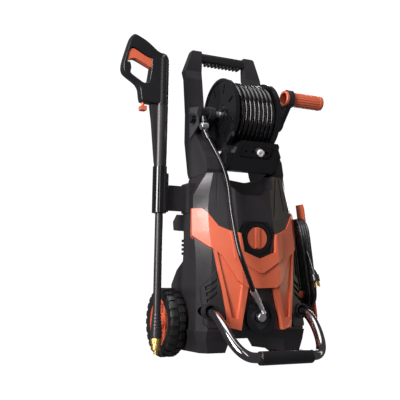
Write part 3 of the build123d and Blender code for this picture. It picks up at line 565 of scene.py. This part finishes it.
def make_gun_body():
    """The grip with its finger hole and the trigger's slot, joined to the round barrel."""
    grip = [
        (4, 838), (-15, 839), (-49, 865), (-84, 880), (-92, 878), (-100, 864), (-119, 797), (-120, 778),
        (-115, 764), (-71, 738), (-66, 700), (-62, 692), (4, 690),
    ]
    finger_hole = [
        (-38, 792), (-44, 751), (-58, 746), (-97, 768), (-94, 784), (-99, 800), (-107.7, 799),
        (-104, 827), (-95.5, 839), (-86.5, 839), (-57.5, 825), (-38, 816.5),
    ]
    shape = bmesh.new()
    pillow(shape, [rounded(grip), rounded(finger_hole, 2, 0.12)], -gun_half_width, gun_half_width,
           on_gun, 3.4, 8.0)
    body = piece_from("gun_body_shown", shape)
    slot = inset(trigger_line, -slot_gap)
    swings = range(0, trigger_swing + 1, swing_step)
    carved(body, [gun_cutter(trigger_turned(slot, degrees), slot_half_width) for degrees in swings])
    barrel = bmesh.new()
    barrel.from_mesh(body.data)
    profile = [
        (0, 841), (7, 839.6), (13, 835.6), (17, 829), (18.5, 821), (18.5, 722), (18.1, 720), (18.5, 718),
        (18.5, 694), (17.6, 690), (0, 690),
    ]
    lathe(barrel, profile, BARREL)
    shade_mesh(barrel, 38)
    barrel.to_mesh(body.data)
    barrel.free()
    settle(body, "gun", "body_black", ["gun_body"], "gun_black")


def make_trigger():
    shape = bmesh.new()
    pillow(shape, [rounded(trigger_line, 2, 0.12)], -trigger_half_width, trigger_half_width,
           on_gun, 1.6, 2.6)
    settle(piece_from("trigger_shown", shape), "gun_trigger", "orange", ["trigger"])


make_gun_body()
make_trigger()


# Pieces with finer shapes than their CAD nodes

def turning_frame(start, towards):
    """A matrix at start whose Z axis points towards another point of the machine."""
    axis = (Vector(towards) - Vector(start)).normalized()
    return Matrix.Translation(at(*start)) @ axis.to_track_quat("Z", "Y").to_matrix().to_4x4()


def make_jumper_ends():
    """A black sleeve under the swivel and a bright ferrule at the outlet."""
    shape = bmesh.new()
    profile = [
        (6.6, 2), (9.2, 2), (10, 4), (10, 9), (9.1, 10), (9.1, 11), (10, 12), (10, 24), (8.4, 30), (6.6, 30),
    ]
    lathe(shape, profile, turning_frame(jumper_route[0], jumper_route[1]))
    settle(piece_from("jumper_sleeve_shown", shape), "chassis", "gloss_black", ["jumper_crimps"])
    shape = bmesh.new()
    profile = [
        (6.4, 0), (7.8, 0), (8.6, 1.5), (8.6, 22), (7.2, 24), (7.2, 27), (8.4, 29), (8.4, 40), (6.6, 45),
        (6.6, 66), (5.2, 67.3),
    ]
    lathe(shape, profile, turning_frame(jumper_route[-1], jumper_tail))
    settle(piece_from("jumper_ferrule_shown", shape), "chassis", "silver")


def along_x(side, y, z):
    """A matrix on the line through y and z whose Z axis points right, or left where side is -1."""
    return Matrix.Translation(at(0, y, z)) @ Matrix.Rotation(math.radians(90 * side), 4, "Y")


def make_crank_grip():
    """The hollow grip: its collar, the neck in the crank's eye and the fluted handle."""
    shape = bmesh.new()
    profile = [
        (0, 220), (16.5, 220), (16.5, 99), (17.5, 98), (21.5, 98), (22.5, 99), (22.5, 104.7), (21.5, 105.7),
        (19.4, 105.7), (19.4, 122.3), (20, 122.3), (21.2, 124), (21.2, 131), (20.6, 133), (20.9, 135),
        (20.9, 210), (20.6, 212), (21.5, 214), (21.5, 220), (20.3, 223), (17, 224), (0, 224),
    ]
    lathe(shape, profile, along_x(1, *crank_eye), steps=144, ridges=18, depth=1.3, between=(134, 211))
    settle(piece_from("crank_grip_shown", shape), "crank_handle", "orange", ["crank_grip"])


bar_y, bar_z, bar_radius = -250, 17.5, 13
bar_right = [
    (139, -70, 127), (140, -106, 128), (141, -140, 119), (137, -182, 86),
    (128, -218, 46), (108, -243, 22), (80, bar_y, bar_z),
]


def make_stand_bar():
    shape = bmesh.new()
    bar_left = [(-x, y, z) for x, y, z in reversed(bar_right)]
    bent_tube(shape, bar_right + bar_left, bar_radius)
    settle(piece_from("stand_bar_shown", shape), "chassis", "dark_chrome", ["stand_bar"])


def make_stand_grip():
    """A ribbed sleeve, flat underneath where it rests on the floor and a little flat on top."""
    radius, rib_depth, ribs, steps = 18.2, 0.22, 20, 120
    flat_top = 16.5
    shape = bmesh.new()
    rings = []
    for x, share in ((-77, 0.86), (-75.5, 0.97), (-72, 1), (72, 1), (75.5, 0.97), (77, 0.86)):
        ring = []
        for step in range(steps):
            angle = 2 * math.pi * step / steps
            reach = share * (radius - rib_depth * (1 - math.cos(ribs * angle)))
            rise = max(-bar_z, min(flat_top, reach * math.sin(angle)))
            ring.append(shape.verts.new(at(x, bar_y + reach * math.cos(angle), bar_z + rise)))
        rings.append(ring)
    for first, second in zip(rings, rings[1:]):
        bridge(shape, first, second)
    shape.faces.new(rings[0])
    shape.faces.new(rings[-1])
    settle(piece_from("stand_grip_shown", shape, 60), "chassis", "grip_rubber", ["stand_grip"])


def make_handle_bar():
    """The rounded bar between the columns with its row of finger ridges."""
    def across(y, x, z):
        return at(x, y, z)

    bar = [(94, 862), (99, 856), (114, 856), (119, 862), (119, 877), (112, 885), (101, 885), (94, 877)]
    half_length, first_tooth, tooth_pitch = 72, -54, 12
    shape = bmesh.new()
    pillow(shape, [rounded(bar)], -half_length, half_length, across, 0.3, 0.3, steps=1)
    for step in range(10):
        x = first_tooth + tooth_pitch * step
        tooth = [
            (x - 3.5, 858), (x - 3.5, 850), (x - 1.8, 848), (x + 1.8, 848), (x + 3.5, 850), (x + 3.5, 858),
        ]
        pillow(shape, [rounded(tooth)], 98, 115, at, 0.8, 1.6, steps=2)
    settle(piece_from("handle_bar_shown", shape, 35), "chassis", "grip_rubber", ["handle_grip"])


def make_tyre(side, name, body):
    """A tyre with staggered blocks on both shoulders, whose outlines are (distance from x = 0, radius)."""
    profile = [
        (66, 157), (82, 156), (89, 159), (91.5, 164), (92.2, 172), (92.2, 189), (91.5, 197), (89, 202),
        (82, 205), (66, 204), (66, 157),
    ]
    outer_block = [(183, 90), (184, 95), (197, 95), (204, 90), (205, 82), (201, 80)]
    inner_block = [(178, 90), (177, 95), (164, 95), (157, 90), (156, 82), (160, 80)]
    blocks, half_block = 24, 7.5
    pitch = 2 * math.pi / blocks

    def turned_to(angle):
        def place(x, depth, radius):
            across = radius * math.cos(angle) - depth * math.sin(angle)
            up = radius * math.sin(angle) + depth * math.cos(angle)
            return at(side * x, wheel_y + across, wheel_z + up)
        return place

    shape = bmesh.new()
    lathe(shape, profile, along_x(side, wheel_y, wheel_z), steps=96)
    for step in range(blocks):
        for block, turn in ((outer_block, step), (inner_block, step + 0.5)):
            pillow(shape, [block], -half_block, half_block, turned_to(turn * pitch), 0.8, 1.2, steps=2)
    settle(piece_from(name + "_shown", shape, 35), body, "tyre", [name])


def make_spray_adjuster():
    """The knurled brass sleeve at the lance's end."""
    shape = bmesh.new()
    profile = [
        (6.1, 24), (13, 24), (13.8, 25.5), (13.8, 37.5), (12.6, 39), (12.6, 40.5), (15, 41.5), (15, 54),
        (13.6, 55.7), (6.1, 55.7), (6.1, 24),
    ]
    lathe(shape, profile, BARREL, steps=144, ridges=24, depth=0.5, between=(41, 54.5))
    settle(piece_from("spray_adjuster_shown", shape, 60), "spray_adjuster", "brass", ["vario_sleeve"])


make_jumper_ends()
make_crank_grip()
make_stand_bar()
make_stand_grip()
make_handle_bar()
make_tyre(-1, "tyre_left", "wheel_left")
make_tyre(1, "tyre_right", "wheel_right")
make_spray_adjuster()


# CAD nodes whose shape is right get rounded edges of some width and their finish

FACETED = {
    "rear_housing": ("body_black", 1.6), "front_cover": ("body_black", 1.2),
    "base_shell": ("body_black", 1.6), "orange_band": ("orange", 1.2),
    "leg_trims": ("orange", 1.0), "vent_panels": ("body_black", 0.7),
    "knob_bezel": ("gloss_black", 1.0), "label_plate": ("gloss_black", 1.6),
    "holster": ("body_black", 1.0),
}
ROUNDED = {
    "selector_knob": ("orange", 1.0), "outlet_collar": ("gloss_black", 1.2),
    "outlet_fitting": ("silver", 0.8), "bar_rings": ("body_black", 1.0),
    "wheel_axle": ("steel", 1.0), "rim_left": ("orange", 1.2), "rim_right": ("orange", 1.2),
    "reel_flange_left": ("gloss_black", 1.2), "reel_flange_right": ("gloss_black", 1.2),
    "reel_drum": ("body_black", 1.0), "reel_axle": ("steel", 0.8),
    "reel_bracket_left": ("body_black", 1.2), "reel_bracket_right": ("body_black", 1.2),
    "bracket_side_plate": ("grey_plastic", 1.0), "reel_lock_knob": ("gloss_black", 1.2),
    "swivel_elbow": ("gloss_black", 1.2), "swivel_banjo": ("silver", 0.8),
    "crank_arm": ("body_black", 1.4), "nozzle_in_tray": ("white_plastic", 0.8),
    "inlet_clip": ("orange", 1.0), "lance_sleeve": ("body_black", 1.5),
    "lance_holder": ("gloss_black", 1.2), "lance_tube": ("body_black", 0.8),
    "spray_tip": ("brass", 0.5), "cord_hook_upper": ("orange", 1.2), "cord_hook_lower": ("orange", 1.2),
    "cord_gland": ("cord_rubber", 0.6), "motor_can": ("steel", 1.0), "motor_rotor": ("steel", 0.6),
    "pump_body": ("cast_aluminium", 1.5), "switch_box": ("grey_plastic", 1.0),
    "water_inlet": ("brass", 0.8), "case_screws": ("steel", 0.4),
}
for node, (slot, width) in FACETED.items():
    refined(node, slot, width, angle=7.0, sharp=40.0)
for node, (slot, width) in ROUNDED.items():
    refined(node, slot, width, sharp=40.0)


# Lights and camera

look_at = (0, 0, 450)


def soft_light(name, place, size, power, tint=(1, 1, 1)):
    """A softbox that faces the machine's middle: place in millimetres, size in metres, power in watts."""
    data = bpy.data.lights.new(name, "AREA")
    data.shape = "RECTANGLE"
    data.size, data.size_y = size
    data.energy = power
    data.color = tint
    lamp = linked(name, data)
    lamp.location = at(*place)
    lamp.rotation_euler = (at(*look_at) - lamp.location).to_track_quat("-Z", "Y").to_euler()


def make_lights():
    """A dim room that lights the machine, behind a plain white that only camera rays see."""
    world = bpy.data.worlds.new("studio")
    world.use_nodes = True
    tree = world.node_tree
    room = tree.nodes["Background"]
    room.inputs["Color"].default_value = (0.95, 0.93, 1, 1)
    room.inputs["Strength"].default_value = 0.12
    ground = tree.nodes.new("ShaderNodeBackground")
    ground.inputs["Color"].default_value = (1, 1, 1, 1)
    ground.inputs["Strength"].default_value = 1.05
    ray = tree.nodes.new("ShaderNodeLightPath")
    mix = tree.nodes.new("ShaderNodeMixShader")
    tree.links.new(ray.outputs["Is Camera Ray"], mix.inputs["Fac"])
    tree.links.new(room.outputs["Background"], mix.inputs[1])
    tree.links.new(ground.outputs["Background"], mix.inputs[2])
    tree.links.new(mix.outputs["Shader"], tree.nodes["World Output"].inputs["Surface"])
    bpy.context.scene.world = world
    soft_light("key_left", (-2600, -1200, 1200), (0.9, 2.4), 135, (1.0, 0.95, 0.96))
    soft_light("strip_front", (-1300, -2700, 1500), (0.35, 2.2), 11)
    soft_light("fill_right", (2100, -1000, 900), (0.3, 2.2), 5, (1.0, 0.86, 0.62))
    soft_light("top", (-300, -400, 2600), (1.6, 1.6), 30)
    soft_light("rim_back", (1500, 1700, 1200), (0.8, 2.0), 30)


def make_camera():
    """Below the machine's middle, in front and to its left."""
    data = bpy.data.cameras.new("camera")
    data.sensor_width = 36.0
    data.lens = 67.3
    data.shift_x, data.shift_y = -0.094, 0.017
    data.clip_end = 50
    camera = linked("camera", data)
    camera.location = at(-1003.6, -1852.6, 178.2)
    aim = Vector((0.4725, 0.8740, 0.1132))
    camera.rotation_euler = aim.to_track_quat("-Z", "Y").to_euler()
    bpy.context.scene.camera = camera


make_lights()
make_camera()
bpy.context.scene.view_settings.view_transform = "Standard"
